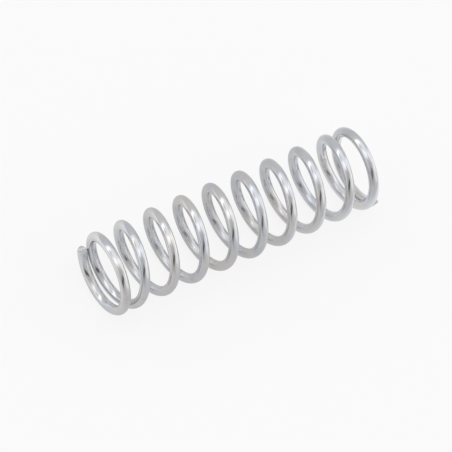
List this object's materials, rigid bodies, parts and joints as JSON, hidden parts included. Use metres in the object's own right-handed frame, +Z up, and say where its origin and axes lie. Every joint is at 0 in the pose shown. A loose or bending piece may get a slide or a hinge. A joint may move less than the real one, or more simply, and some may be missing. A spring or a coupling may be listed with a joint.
{
  "type": "governor spring",
  "caption": "Open-wound compression spring of round zinc-plated wire with closed, unground ends, for the linkage of an engine speed governor",
  "frame": {"origin": "on the surface that the spring lies on, under the middle of its box", "axes": "+X along the coil's axis, +Y across it, +Z up"},
  "size_m": [0.046, 0.0128, 0.0128],
  "materials": {
    "zinc_wire": "bright zinc-plated drawn spring wire with a faint blue cast"
  },
  "bodies": {
    "root": {"coil_spring": "zinc_wire"}
  },
  "joints": []
}
